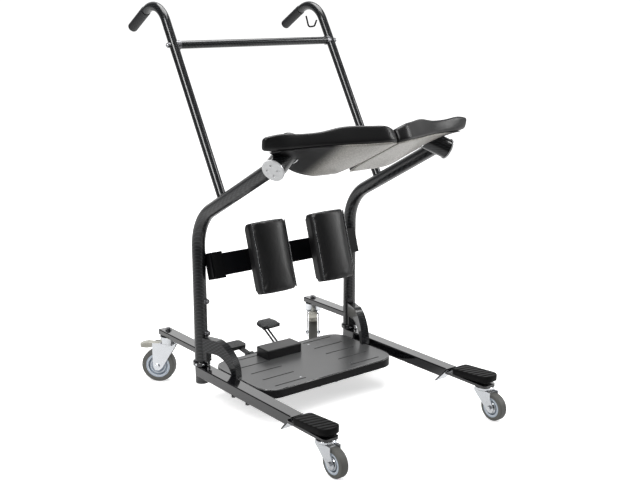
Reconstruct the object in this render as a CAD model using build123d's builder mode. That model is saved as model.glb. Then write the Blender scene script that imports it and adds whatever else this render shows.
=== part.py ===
"""Stand-assist patient lift: a wheeled frame with two masts, swing-away seat
paddles, knee pads, push handles and front legs that a pedal spreads apart.

All lengths are in millimetres.  +Z is up and the patient enters from -Y.
Shapes are drawn for the +X side about the line of the masts; the other side
is the mirror image.  MAST_Y carries the masts to their place, so that the
origin is on the floor under the middle of the whole lift.
"""
import math
import os

from build123d import *

# ---------------------------------------------------------------- placing
MAST_Y = 155.0        # from the middle of the lift back to the masts
MAST_X = 270.0        # from the middle plane to each mast

# ---------------------------------------------------------------- frame tubes
MAST_R = 19.0         # 38 mm tube: masts and arms
WALL = 2.5
SPLICE_Z = 230.0      # where the upper mast plugs onto the lower one
SPIGOT_TOP = 264.0
MAST_FOOT = 105.8     # lower end of the fixed mast tube
ARM_Z = 524.0         # height where the mast and arm centre lines would cross
ARM_REACH = 378.0     # how far the arm end is in front of the mast
ARM_END_Z = 724.0
ARM_BEND = 130.0
BAR_R = 12.7          # 25.4 mm tube: push handles
CROSS_R = 11.0

# ---------------------------------------------------------------- seat hub
AXIS_IN = (-0.81, 0.39, 0.435)   # hub axis on the +X side, pointing inwards
HUB_R = 27.5
CAP_T = 4.5
HUB_OUT = -24.0       # distances along the hub axis from the end of the arm
HUB_IN = 50.0
PIN_R = 12.95
BORE_R = 13.0

# ---------------------------------------------------------------- base
AXLE_R = 12.95        # pivot post that each front leg turns on
SLEEVE_BORE = 13.0
FOOT_Z = 53.0         # underside of the masts' feet
SLEEVE_Z = (60.0, 104.6)
LEG_W = 38.0
LEG_Z = (74.0, 104.0)
LEG_END = 447.0
DECK_HALF = 232.0
DECK_Y = (-264.0, 14.0)
DECK_Z = (68.0, 93.0)
DECK_SHEET = 2.5
REAR_LEG_Z = (141.0, 158.0)
REAR_LEG_END = 211.0
GROOVES = (-237.0, -180.0, -123.0, -66.0, -9.0)

# ---------------------------------------------------------------- casters
FRONT_SWIVEL = (275.0, -572.0)
FRONT_R = 37.5
FRONT_TRAIL = 36.0
FRONT_TYRE_W = 24.0
REAR_SWIVEL = (270.0, 185.0)
REAR_R = 50.0
REAR_TRAIL = 32.0
REAR_TYRE_W = 28.0
REAR_TURN_LEFT = 223.8    # how the rear casters stand, about +Z
REAR_TURN_RIGHT = -38.0
CASTER_AXLE_R = 3.98
CASTER_BORE_R = 4.03
KINGPIN_R = 4.95
KINGPIN_BORE = 5.0

# ---------------------------------------------------------------- knee bar
KNEE_TILT = 17.0
KNEE_BAR = (-44.0, 399.0)       # middle of the flat bar: y, z
KNEE_BAR_H = 62.0
KNEE_BAR_T = 8.0
KNEE_PAD_X = 105.0
KNEE_PAD_W = 120.0
KNEE_PAD_H = 198.0
KNEE_PAD_T = 47.0
KNEE_PAD_SIDE = 38.0
KNEE_BOARD_Y = -51.0            # back of the pad board, out from the bar
KNEE_PAD_UP = -2.5            # pads stand this far above the bar's middle

# ---------------------------------------------------------------- pedals
SHAFT_Y = 26.0
SHAFT_Z = 84.0
SHAFT_R = 5.95
LEVER_BORE = 6.0
HIGH_X = 20.0
LOW_X = -86.0
CRANK = 23.0          # from the pedal shaft down to the sliding bar
LINK_PIN = (235.0, -60.0)       # pin on the leg's inner arm
CROSSHEAD = (30.0, -228.0)      # pin on the sliding bar
TIE_Z = (53.0, 59.0)

os.makedirs("parts", exist_ok=True)
HALF_TURN = 180.0


def save(shape, node):
    """Label a finished piece, carry it to its place and write it out."""
    placed = shape.moved(Location((0, MAST_Y, 0)))
    placed.label = node
    export_step(placed, f"parts/{node}.step")


def save_pair(shape, stem):
    """Write the +X piece and its mirror image."""
    save(shape, f"{stem}_right")
    save(mirror(shape, about=Plane.YZ), f"{stem}_left")


def save_group(shape, node):
    """Write the +X piece and its mirror image together as one node."""
    save(Compound(children=[shape, mirror(shape, about=Plane.YZ)]), node)


# ================================================================ masts
with BuildPart() as mast_lower:
    with BuildSketch(Plane.XZ.offset(0)) as mast_profile:
        with BuildLine():
            Polyline(
                (0, FOOT_Z), (AXLE_R, FOOT_Z), (AXLE_R, MAST_FOOT), (MAST_R, MAST_FOOT),
                (MAST_R, SPLICE_Z), (16.2, SPLICE_Z), (16.2, SPIGOT_TOP),
                (13.2, SPIGOT_TOP), (13.2, 118), (0, 118), close=True,
            )
        make_face()
    revolve(axis=Axis.Z)
save_pair(mast_lower.part.moved(Location((MAST_X, 0, 0))), "mast_lower")

arm_end = Vector(MAST_X, -ARM_REACH, ARM_END_Z)
hub_dir = Vector(*AXIS_IN).normalized()


def on_hub(along):
    """Plane square to the hub axis, this far along it from the arm end."""
    return Plane(origin=arm_end + hub_dir * along, x_dir=(0, 0.745, -0.667), z_dir=hub_dir)


with BuildPart() as mast_upper:
    with BuildLine() as arm_path:
        FilletPolyline(
            (MAST_X, 0, SPLICE_Z + 0.4), (MAST_X, 0, ARM_Z), tuple(arm_end),
            radius=ARM_BEND,
        )
    with BuildSketch(Plane(origin=arm_path.line @ 0, z_dir=arm_path.line % 0)):
        Circle(MAST_R)
    sweep()
    with BuildSketch(on_hub(HUB_OUT)):
        Circle(HUB_R)
    extrude(amount=HUB_IN - HUB_OUT)
    with BuildLine() as core_path:
        FilletPolyline(
            (MAST_X, 0, SPLICE_Z + 0.4), (MAST_X, 0, ARM_Z), tuple(arm_end),
            radius=ARM_BEND,
        )
    with BuildSketch(Plane(origin=core_path.line @ 0, z_dir=core_path.line % 0)):
        Circle(MAST_R - WALL)
    sweep(mode=Mode.SUBTRACT)
    with BuildSketch(on_hub(HUB_OUT)):
        Circle(HUB_R - 4)
    extrude(amount=HUB_IN - HUB_OUT)
    with BuildSketch(on_hub(HUB_OUT)):
        Circle(BORE_R)
    extrude(amount=HUB_IN - HUB_OUT, mode=Mode.SUBTRACT)
save_pair(mast_upper.part, "mast_upper")

with BuildPart() as hub_cap:
    with BuildSketch(on_hub(HUB_OUT - CAP_T)):
        Circle(29.5)
    extrude(amount=CAP_T - 0.1)
    fillet(hub_cap.edges().filter_by(GeomType.CIRCLE).sort_by(Axis(
        tuple(arm_end), tuple(hub_dir)))[0], radius=1.5)
    with BuildSketch(on_hub(HUB_OUT - CAP_T)):
        with PolarLocations(14, 4, start_angle=45):
            Circle(4.2)
    extrude(amount=2.5, mode=Mode.SUBTRACT)
save_group(hub_cap.part, "hub_caps")

# ================================================================ handles
HANDLE_LEAN = 30.3
handle_foot = Vector(MAST_X, -126, 606)
handle_knee = Vector(MAST_X, 175, 1119)
grip_end = Vector(MAST_X, 326, 1032)
GRIP_LENGTH = 92.0

with BuildPart() as handle:
    with BuildLine() as handle_path:
        FilletPolyline(tuple(handle_foot), tuple(handle_knee), tuple(grip_end), radius=78)
    with BuildSketch(Plane(origin=handle_path.line @ 0, z_dir=handle_path.line % 0)):
        Circle(BAR_R)
        Circle(BAR_R - 2, mode=Mode.SUBTRACT)
    sweep()
    with BuildLine() as arm_line:
        Line((MAST_X, -40, ARM_Z + 40 * 0.5291), (MAST_X, -240, ARM_Z + 240 * 0.5291))
    with BuildSketch(Plane(origin=arm_line.line @ 0, z_dir=arm_line.line % 0)):
        Circle(MAST_R + 0.02)
    extrude(amount=226, mode=Mode.SUBTRACT)
save_pair(handle.part.solids().sort_by(Axis.Z)[-1], "handle")

grip_dir = (grip_end - handle_knee).normalized()
with BuildPart() as grip:
    with BuildSketch(Plane(origin=grip_end - grip_dir * GRIP_LENGTH, z_dir=grip_dir)):
        Circle(14.2)
        Circle(BAR_R + 0.02, mode=Mode.SUBTRACT)
    extrude(amount=GRIP_LENGTH)
    with BuildSketch(Plane(origin=grip_end, z_dir=grip_dir)):
        Circle(14.2)
    extrude(amount=4)
    fillet(grip.faces().sort_by(Axis(tuple(grip_end), tuple(grip_dir)))[-1].edges(), radius=3)
save_group(grip.part, "grips")

CROSS_Y = 99.0
CROSS_Z = 989.0
handle_up = (handle_knee - handle_foot).normalized()
with BuildPart() as crossbar:
    with BuildSketch(Plane.YZ.offset(-(MAST_X - BAR_R - 6))):
        with Locations((CROSS_Y, CROSS_Z)):
            Circle(CROSS_R)
            Circle(CROSS_R - 2, mode=Mode.SUBTRACT)
    extrude(amount=2 * (MAST_X - BAR_R - 6))
save(crossbar.part, "handle_crossbar")

with BuildPart() as crossbar_end:
    with BuildSketch(Plane.YZ.offset(MAST_X - BAR_R - 5.9)):
        with Locations((CROSS_Y, CROSS_Z)):
            Circle(13)
    extrude(amount=14)
    with BuildSketch(Plane(origin=handle_foot, z_dir=handle_up)):
        Circle(BAR_R)
    extrude(amount=560, mode=Mode.SUBTRACT)
with BuildPart() as crossbar_bolt:
    with BuildSketch(Plane.YZ.offset(MAST_X)):
        with Locations((CROSS_Y, CROSS_Z)):
            Circle(7)
    extrude(amount=20)
    with BuildSketch(Plane(origin=handle_foot, z_dir=handle_up)):
        Circle(BAR_R)
    extrude(amount=560, mode=Mode.SUBTRACT)
    fillet(crossbar_bolt.faces().sort_by(Axis.X)[-1].edges(), radius=2)
spacer = crossbar_end.part.solids().sort_by(Axis.X)[0]
bolt_head = crossbar_bolt.part.solids().sort_by(Axis.X)[-1]
save(Compound(children=[
    spacer, bolt_head, mirror(spacer, about=Plane.YZ), mirror(bolt_head, about=Plane.YZ),
]), "crossbar_fittings")

hook_dir = Vector(-0.65, 0.76, 0).normalized()
with BuildPart() as hook:
    hook_root = Vector(MAST_X, 152, 1048) + hook_dir * 8
    with BuildLine() as hook_path:
        FilletPolyline(
            tuple(hook_root),
            tuple(hook_root + hook_dir * 7 + Vector(0, 0, -19)),
            tuple(hook_root + hook_dir * 25 + Vector(0, 0, -21)),
            tuple(hook_root + hook_dir * 33 + Vector(0, 0, 12)),
            radius=7,
        )
    with BuildSketch(Plane(origin=hook_path.line @ 0, z_dir=hook_path.line % 0)):
        Circle(2.6)
    sweep()
    with BuildLine() as hook_cut:
        FilletPolyline(tuple(handle_foot), tuple(handle_knee), tuple(grip_end), radius=78)
    with BuildSketch(Plane(origin=hook_cut.line @ 0, z_dir=hook_cut.line % 0)):
        Circle(BAR_R)
    sweep(mode=Mode.SUBTRACT)
save_group(hook.part.solids().sort_by(SortBy.VOLUME)[-1], "strap_hooks")

# ================================================================ fixed base
BRACE_SPLAY = 17.7            # turned inwards from straight ahead
brace_plane = Plane(
    origin=(MAST_X, 0, 0),
    x_dir=(-math.sin(math.radians(BRACE_SPLAY)), -math.cos(math.radians(BRACE_SPLAY)), 0),
    z_dir=(-math.cos(math.radians(BRACE_SPLAY)), math.sin(math.radians(BRACE_SPLAY)), 0),
)
BRACE_W = 24.0
with BuildPart() as brace:
    with BuildSketch(brace_plane):
        with BuildLine():
            Polyline((12, 149), (12, 189), (66, 189))
            ThreePointArc((66, 189), (114, 156), (134, DECK_Z[1]))
            Line((134, DECK_Z[1]), (119, DECK_Z[1]))
            ThreePointArc((119, DECK_Z[1]), (101, 129), (64, 149))
            Line((64, 149), (12, 149))
        make_face()
    extrude(amount=BRACE_W / 2, both=True)
    with BuildSketch(brace_plane):
        with Locations((21, 153.5)):
            Rectangle(12, 69)
    extrude(amount=11, both=True)
    with BuildSketch(Plane.XY.offset(100)):
        with Locations((MAST_X, 0)):
            Circle(MAST_R)
    extrude(amount=120, mode=Mode.SUBTRACT)
save_pair(brace.part.solids().sort_by(SortBy.VOLUME)[-1], "brace")

deck_mid = ((DECK_Y[0] + DECK_Y[1]) / 2)
deck_len = DECK_Y[1] - DECK_Y[0]
with BuildPart() as deck_frame:
    with BuildSketch(Plane.XY.offset(DECK_Z[0])):
        with Locations((0, deck_mid)):
            RectangleRounded(2 * DECK_HALF, deck_len, 52)
    extrude(amount=DECK_Z[1] - DECK_Z[0] - DECK_SHEET)
    with BuildSketch(Plane.XY.offset(DECK_Z[0])):
        with Locations((0, deck_mid)):
            RectangleRounded(2 * DECK_HALF - 30, deck_len - 30, 38)
        with Locations((0, deck_mid - 62), (0, deck_mid + 62)):
            Rectangle(2 * DECK_HALF, 22, mode=Mode.SUBTRACT)
    extrude(amount=17, mode=Mode.SUBTRACT)
    for lug_x in (LOW_X - 16, -30, HIGH_X + 20):
        with BuildSketch(Plane.YZ.offset(lug_x)):
            with Locations(((DECK_Y[1] + SHAFT_Y) / 2, 80)):
                Rectangle(SHAFT_Y - DECK_Y[1] + 14, 20)
        extrude(amount=6)
    with BuildSketch(Plane.YZ.offset(LOW_X - 18)):
        with Locations((SHAFT_Y, SHAFT_Z)):
            Circle(SHAFT_R)
    extrude(amount=HIGH_X - LOW_X + 48)
    for strap_y in (-181, -57):
        with BuildSketch(Plane.XZ.offset(-strap_y)):
            with Locations((-20, 61.5), (20, 61.5)):
                Rectangle(8, 14)
            with Locations((0, 52.5)):
                Rectangle(48, 5)
        extrude(amount=12)
save(deck_frame.part, "platform_frame")

HOUSING = (-86.0, 38.0, -62.0, -2.0)       # x from, x to, y from, y to
with BuildPart() as deck_sheet:
    with BuildSketch(Plane.XY.offset(DECK_Z[1] - DECK_SHEET)):
        with Locations((0, deck_mid)):
            RectangleRounded(2 * DECK_HALF, deck_len, 52)
    extrude(amount=DECK_SHEET)
    fillet(deck_sheet.faces().sort_by(Axis.Z)[-1].edges(), radius=1.2)
    with BuildSketch(Plane.XY.offset(DECK_Z[1])):
        for groove_y in GROOVES:
            with Locations((133.5, groove_y), (-133.5, groove_y)):
                SlotOverall(106, 5)
    extrude(amount=-1.6, mode=Mode.SUBTRACT)
    with BuildSketch(Plane.XY.offset(DECK_Z[1])):
        with GridLocations(180, 200, 2, 2):
            with Locations((0, deck_mid)):
                Circle(3.05)
    extrude(amount=-1.6, mode=Mode.SUBTRACT)
save(deck_sheet.part, "platform_deck")

with BuildPart() as deck_screws:
    with BuildSketch(Plane.XY.offset(DECK_Z[1] - 1.6)):
        with GridLocations(180, 200, 2, 2):
            with Locations((0, deck_mid)):
                Circle(3)
    extrude(amount=1.8)
save(deck_screws.part, "deck_screws")

with BuildPart() as housing:
    with BuildSketch(Plane.XY.offset(DECK_Z[1])):
        with Locations(((HOUSING[0] + HOUSING[1]) / 2, (HOUSING[2] + HOUSING[3]) / 2)):
            RectangleRounded(HOUSING[1] - HOUSING[0], HOUSING[3] - HOUSING[2], 6)
    extrude(amount=27)
    fillet(housing.faces().sort_by(Axis.Z)[-1].edges(), radius=3)
    with BuildSketch(Plane.XY.offset(DECK_Z[1])):
        with Locations(((HOUSING[0] + HOUSING[1]) / 2, (HOUSING[2] + HOUSING[3]) / 2)):
            Rectangle(HOUSING[1] - HOUSING[0] - 8, HOUSING[3] - HOUSING[2] - 8)
    extrude(amount=23, mode=Mode.SUBTRACT)
save(housing.part, "pedal_housing")

with BuildPart() as foot_strap:
    with BuildSketch(Plane.XY.offset(FOOT_Z)):
        Rectangle(2 * MAST_X, 34)
        with Locations((MAST_X, 0), (-MAST_X, 0)):
            Circle(MAST_R, mode=Mode.SUBTRACT)
    extrude(amount=5.5)
save(foot_strap.part.solids().sort_by(SortBy.VOLUME)[-1], "foot_strap")

with BuildPart() as rear_leg:
    with BuildSketch(Plane.XZ.offset(-REAR_LEG_END)):
        with Locations((MAST_X, sum(REAR_LEG_Z) / 2)):
            RectangleRounded(LEG_W, REAR_LEG_Z[1] - REAR_LEG_Z[0], 3)
    extrude(amount=REAR_LEG_END)
    with BuildSketch(Plane.XY.offset(REAR_LEG_Z[0] - 1)):
        with Locations((MAST_X, 0)):
            Circle(MAST_R)
    extrude(amount=30, mode=Mode.SUBTRACT)
save_pair(rear_leg.part.solids().sort_by(SortBy.VOLUME)[-1], "rear_leg")

with BuildPart() as collar:
    with BuildSketch(Plane.XY.offset(106.2)):
        with Locations((MAST_X, 0)):
            Circle(24.5)
            Circle(MAST_R, mode=Mode.SUBTRACT)
    extrude(amount=11.6)
    fillet(collar.faces().sort_by(Axis.Z)[-1].edges().sort_by(Edge.length)[-1], radius=2)
with BuildPart() as foot_cap:
    with BuildSketch(Plane.XY.offset(FOOT_Z)):
        with Locations((MAST_X, 0)):
            Circle(MAST_R)
            Circle(AXLE_R, mode=Mode.SUBTRACT)
    extrude(amount=6.4)
save(Compound(children=[
    collar.part.solids()[0], foot_cap.part.solids()[0],
    mirror(collar.part.solids()[0], about=Plane.YZ),
    mirror(foot_cap.part.solids()[0], about=Plane.YZ),
]), "mast_rings")

# Bolts: two through each mast splice, one down through each rear leg end.
SPLICE_BOLT_Z = (200.0, 293.0)
BOLT_TURN = 28.0
bolt_dir = Vector(-math.sin(math.radians(BOLT_TURN)), -math.cos(math.radians(BOLT_TURN)), 0)
with BuildPart() as frame_bolts:
    for bolt_z in SPLICE_BOLT_Z:
        with BuildSketch(Plane(origin=Vector(MAST_X, 0, bolt_z) + bolt_dir * 14, z_dir=bolt_dir)):
            Circle(8.5)
        extrude(amount=8)
        with BuildSketch(Plane(origin=Vector(MAST_X, 0, bolt_z) + bolt_dir * 21, z_dir=bolt_dir)):
            RegularPolygon(6.5, 6)
        extrude(amount=6)
    with BuildSketch(Plane.XY.offset(180)):
        with Locations((MAST_X, 0)):
            Circle(MAST_R)
    extrude(amount=140, mode=Mode.SUBTRACT)
    with BuildSketch(Plane.XY.offset(REAR_LEG_Z[1])):
        with Locations(REAR_SWIVEL):
            Circle(9)
    extrude(amount=3.5)
    with BuildSketch(Plane.XY.offset(REAR_LEG_Z[1] + 3.4)):
        with Locations(REAR_SWIVEL):
            RegularPolygon(6, 6)
    extrude(amount=4)
bolt_solids = [s for s in frame_bolts.part.solids() if s.volume > 100]
save(Compound(children=bolt_solids + [mirror(s, about=Plane.YZ) for s in bolt_solids]),
     "frame_bolts")

# ================================================================ knee bar
knee_plane = Plane(
    origin=(0, KNEE_BAR[0], KNEE_BAR[1]),
    x_dir=(1, 0, 0),
    z_dir=(0, -math.cos(math.radians(KNEE_TILT)), math.sin(math.radians(KNEE_TILT))),
)


def on_knee(out):
    """Plane parallel to the tilted knee bar, this far out in front of it."""
    return knee_plane.offset(out)


with BuildPart() as knee_bar:
    with BuildSketch(on_knee(-KNEE_BAR_T / 2)):
        Rectangle(2 * (MAST_X - 12), KNEE_BAR_H)
    extrude(amount=KNEE_BAR_T)
    fillet(knee_bar.edges().filter_by(Axis.X), radius=1.5)
    for side in (-1, 1):
        with BuildSketch(on_knee(KNEE_BAR_T / 2)):
            with Locations((side * KNEE_PAD_X, 0)):
                Rectangle(46, 40)
        extrude(amount=-KNEE_BOARD_Y - KNEE_BAR_T / 2 - 8)
        with BuildSketch(on_knee(-KNEE_BOARD_Y - 8)):
            with Locations((side * KNEE_PAD_X, KNEE_PAD_UP)):
                RectangleRounded(KNEE_PAD_W - 14, KNEE_PAD_H - 16, 8)
        extrude(amount=8)
save(knee_bar.part, "knee_bar")

with BuildPart() as knee_bracket:
    with BuildSketch(on_knee(KNEE_BAR_T / 2 + 5)):
        with Locations((MAST_X - 32, 0)):
            Rectangle(32, 74)
    extrude(amount=-(KNEE_BAR_T + 5 + 30))
    with BuildSketch(on_knee(KNEE_BAR_T / 2 + 0.05)):
        with Locations((MAST_X - 60, 0)):
            Rectangle(96, KNEE_BAR_H + 0.1)
    extrude(amount=-(KNEE_BAR_T + 0.1), mode=Mode.SUBTRACT)
    with BuildSketch(Plane.XY.offset(330)):
        with Locations((MAST_X, 0)):
            Circle(MAST_R)
    extrude(amount=140, mode=Mode.SUBTRACT)
    with BuildSketch(Plane.XY.offset(330)):
        with Locations((MAST_X, 60)):
            Rectangle(120, 120)
    extrude(amount=140, mode=Mode.SUBTRACT)
save_group(knee_bracket.part.solids().sort_by(SortBy.VOLUME)[-1], "knee_brackets")

with BuildPart() as knee_pad:
    with BuildSketch(Plane(
        origin=knee_plane.from_local_coords(Vector(KNEE_PAD_X, KNEE_PAD_UP - KNEE_PAD_H / 2,
                                                   -KNEE_BOARD_Y + 0.5)),
        x_dir=(1, 0, 0),
        z_dir=knee_plane.y_dir,
    )):
        with BuildLine():
            half = KNEE_PAD_W / 2
            Line((-half, 0), (half, 0))
            Line((half, 0), (half, -KNEE_PAD_SIDE))
            ThreePointArc((half, -KNEE_PAD_SIDE), (0, -KNEE_PAD_T), (-half, -KNEE_PAD_SIDE))
            Line((-half, -KNEE_PAD_SIDE), (-half, 0))
        make_face()
    extrude(amount=KNEE_PAD_H)
    fillet(knee_pad.edges().group_by(Edge.length)[-1], radius=3)
save_pair(knee_pad.part, "knee_pad")

# ================================================================ seat paddles
# Each station across the paddle: x, then y and z of the lower back edge, upper
# back edge, upper front edge and lower front edge of the whole paddle.
STATIONS = (
    (1.5, (-513, 777), (-494, 797), (-298, 700), (-290, 664)),
    (26, (-520, 782), (-500, 808), (-301, 702), (-294, 665)),
    (66, (-506, 781), (-486, 810), (-307, 706), (-303, 667)),
    (130, (-478, 780), (-455, 809), (-321, 714), (-320, 674)),
    (186, (-454, 777), (-440, 798), (-325, 734), (-321, 692)),
    (236, (-440, 774), (-432, 796), (-352, 764), (-345, 721)),
    (300, (-427, 770), (-427, 797), (-390, 790), (-386, 757)),
    (326, (-412, 768), (-420, 790), (-402, 788), (-399, 765)),
)
SHELL = 8.0


# The corner nearest the other paddle is rounded off, so that it doesn't sweep
# across the middle plane when one paddle swings up while the other is down.
with BuildPart() as corner_relief:
    with BuildSketch(Plane.XY.offset(600)):
        with BuildLine():
            ThreePointArc((1.4, -384), (8, -332), (28, -280))
            Polyline((28, -280), (0, -280), (0, -384), (1.4, -384))
        make_face()
    extrude(amount=300)

with BuildPart() as seat_pad:
    for x, low_back, high_back, high_front, low_front in STATIONS:
        with BuildSketch(Plane.YZ.offset(x)):
            Polygon(
                (low_back[0], low_back[1] + SHELL + 0.5), high_back,
                high_front, (low_front[0], low_front[1] + SHELL + 0.5), align=None,
            )
    loft(ruled=True)
    with BuildSketch(on_hub(HUB_OUT - 20)):
        Circle(32.6)
    extrude(amount=85.5 - HUB_OUT, mode=Mode.SUBTRACT)
    add(corner_relief.part, mode=Mode.SUBTRACT)
save_pair(seat_pad.part.solids().sort_by(SortBy.VOLUME)[-1], "seat_pad")

with BuildPart() as seat_shell:
    for x, low_back, high_back, high_front, low_front in STATIONS[:6]:
        with BuildSketch(Plane.YZ.offset(x)):
            Polygon(
                low_back, (low_back[0], low_back[1] + SHELL),
                (low_front[0], low_front[1] + SHELL), low_front, align=None,
            )
    loft(ruled=True)
    with BuildSketch(on_hub(HUB_OUT - 20)):
        Circle(32.6)
    extrude(amount=81.2 - HUB_OUT, mode=Mode.SUBTRACT)
    add(corner_relief.part, mode=Mode.SUBTRACT)
save_pair(seat_shell.part.solids().sort_by(SortBy.VOLUME)[-1], "seat_shell")

with BuildPart() as seat_spindle:
    with BuildSketch(on_hub(HUB_OUT + 3)):
        Circle(PIN_R)
    extrude(amount=HUB_IN - HUB_OUT - 2.5)
    with BuildSketch(on_hub(HUB_IN + 0.5)):
        Circle(32)
    extrude(amount=10.5)
save_pair(seat_spindle.part, "seat_spindle")

# ================================================================ front legs
with BuildPart() as front_leg:
    with BuildSketch(Plane.YZ.offset(MAST_X - LEG_W / 2)):
        with BuildLine():
            Polyline(
                (0, LEG_Z[0]), (0, LEG_Z[1]), (-LEG_END, LEG_Z[1]),
                (-LEG_END + 26, LEG_Z[0]), close=True,
            )
        make_face()
    extrude(amount=LEG_W)
    fillet(front_leg.edges().filter_by(Axis.Y), radius=3)
    with BuildSketch(Plane.YZ.offset(MAST_X - LEG_W / 2 + 2.5)):
        with BuildLine():
            Polyline(
                (-24, LEG_Z[0] + 2.5), (-24, LEG_Z[1] - 2.5), (-LEG_END + 1, LEG_Z[1] - 2.5),
                (-LEG_END + 24, LEG_Z[0] + 2.5), close=True,
            )
        make_face()
    extrude(amount=LEG_W - 5, mode=Mode.SUBTRACT)
    with BuildSketch(Plane.YZ.offset(MAST_X - LEG_W / 2)):
        with BuildLine():
            Polyline(
                (-LEG_END, LEG_Z[1]), (-LEG_END - 4.5, LEG_Z[1]),
                (-LEG_END + 38.5, LEG_Z[0] - 18), (-LEG_END + 43, LEG_Z[0] - 18), close=True,
            )
        make_face()
    extrude(amount=LEG_W)
    with BuildSketch(Plane.XY.offset(88)):
        with Locations((MAST_X + 4, -LEG_END - 70)):
            RectangleRounded(46, 156, 10)
    extrude(amount=7)
    with BuildSketch(Plane.XY.offset(SLEEVE_Z[0])):
        with Locations((MAST_X, 0)):
            Circle(MAST_R)
    extrude(amount=SLEEVE_Z[1] - SLEEVE_Z[0])
    with BuildSketch(Plane.XY.offset(TIE_Z[1] + 1)):
        with BuildLine():
            Polyline(
                (MAST_X - 16, 8), (MAST_X + 6, -16), (LINK_PIN[0] + 8, LINK_PIN[1] - 8),
                (LINK_PIN[0] - 8, LINK_PIN[1] - 2), close=True,
            )
        make_face()
    extrude(amount=6)
    with BuildSketch(Plane.XY.offset(TIE_Z[0] - 2)):
        with Locations(LINK_PIN):
            Circle(4)
    extrude(amount=TIE_Z[1] - TIE_Z[0] + 4)
    with BuildSketch(Plane.XY.offset(LEG_Z[0] - 5)):
        with Locations((MAST_X + 14, -183), (MAST_X + 14, -250)):
            Circle(6)
    extrude(amount=5.5)
    with BuildSketch(Plane.XY.offset(SLEEVE_Z[0] - 1)):
        with Locations((MAST_X, 0)):
            Circle(SLEEVE_BORE)
    extrude(amount=80, mode=Mode.SUBTRACT)
    with BuildSketch(Plane.XY.offset(80)):
        with Locations(FRONT_SWIVEL):
            Circle(24)
    extrude(amount=8)
    with BuildSketch(Plane.XY.offset(62)):
        with Locations(FRONT_SWIVEL):
            Circle(KINGPIN_R)
    extrude(amount=20)
save_pair(front_leg.part, "front_leg")

with BuildPart() as toe_pad:
    with BuildSketch(Plane.XY.offset(90)):
        with BuildLine():
            Polyline(
                (246, -472), (304, -472), (305, -572), (292, -600), (262, -602),
                (247, -588), close=True,
            )
        make_face()
    extrude(amount=50)
    with BuildSketch(Plane.YZ.offset(220)):
        with BuildLine():
            Polyline((-470, 95), (-470, 114), (-604, 124), (-604, 106), (-596, 95), close=True)
        make_face()
    extrude(amount=120, mode=Mode.INTERSECT)
    fillet(toe_pad.faces().sort_by(Axis.Z)[-1].edges(), radius=2)
save_pair(toe_pad.part, "toe_pad")

# ================================================================ pedals
HIGH_RISE = 30.0
with BuildPart() as pedal_high:
    with BuildSketch(Plane.YZ.offset(HIGH_X - 12)):
        with Locations((SHAFT_Y, SHAFT_Z)):
            Circle(11)
    extrude(amount=24)
    rise = math.radians(HIGH_RISE)
    rod_dir = Vector(0, math.cos(rise), math.sin(rise))
    for rod_x in (HIGH_X - 6, HIGH_X + 6):
        with BuildSketch(Plane(origin=Vector(rod_x, SHAFT_Y, SHAFT_Z) + rod_dir * 8, z_dir=rod_dir)):
            Circle(3.2)
        extrude(amount=76)
    with BuildSketch(Plane(origin=(HIGH_X + 9, 101, 133), x_dir=(1, 0, 0),
                           z_dir=(0, -0.17, 0.985))):
        with BuildLine():
            Polyline((-31, -20), (-22, 24), (22, 24), (31, -20), close=True)
        make_face()
    extrude(amount=11)
    with BuildSketch(Plane.YZ.offset(HIGH_X - 12.5)):
        with Locations((SHAFT_Y, SHAFT_Z)):
            Circle(LEVER_BORE)
    extrude(amount=26, mode=Mode.SUBTRACT)
save(pedal_high.part, "pedal_high")

with BuildPart() as pedal_low:
    with BuildSketch(Plane.YZ.offset(LOW_X - 8)):
        with Locations((SHAFT_Y, SHAFT_Z)):
            Circle(11)
    extrude(amount=16)
    with BuildSketch(Plane.YZ.offset(LOW_X - 5)):
        with BuildLine():
            Polyline(
                (SHAFT_Y + 4, SHAFT_Z - 5), (SHAFT_Y + 4, SHAFT_Z + 6), (96, 98),
                (96, 88), close=True,
            )
        make_face()
    extrude(amount=10)
    with BuildSketch(Plane(origin=(LOW_X - 12, 94, 92), x_dir=(1, 0, 0),
                           z_dir=(0, -0.06, 0.998))):
        RectangleRounded(60, 46, 12)
    extrude(amount=11)
    with BuildSketch(Plane.YZ.offset(LOW_X - 5)):
        with Locations((SHAFT_Y, SHAFT_Z - CRANK + 4)):
            Rectangle(6, CRANK)
    extrude(amount=10)
    with BuildSketch(Plane.YZ.offset(LOW_X - 9)):
        with Locations((SHAFT_Y, SHAFT_Z)):
            Circle(LEVER_BORE)
    extrude(amount=18, mode=Mode.SUBTRACT)
save(pedal_low.part, "pedal_low")

with BuildPart() as drive_bar:
    with BuildSketch(Plane.XY.offset(TIE_Z[1] + 1)):
        with Locations((0, (CROSSHEAD[1] + 20) / 2)):
            Rectangle(22, 20 - CROSSHEAD[1])
        with Locations((0, CROSSHEAD[1])):
            RectangleRounded(2 * CROSSHEAD[0] + 20, 20, 6)
        with Locations(((LOW_X - 12 + 11) / 2, SHAFT_Y + 1)):
            Rectangle(11 - LOW_X + 12, 24)
        with Locations((LOW_X, SHAFT_Y)):
            Rectangle(12, 12.4, mode=Mode.SUBTRACT)
    extrude(amount=6)
    with BuildSketch(Plane.XY.offset(TIE_Z[0] - 2)):
        with Locations(CROSSHEAD, (-CROSSHEAD[0], CROSSHEAD[1])):
            Circle(3.95)
    extrude(amount=TIE_Z[1] - TIE_Z[0] + 4)
save(drive_bar.part, "drive_bar")

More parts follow.
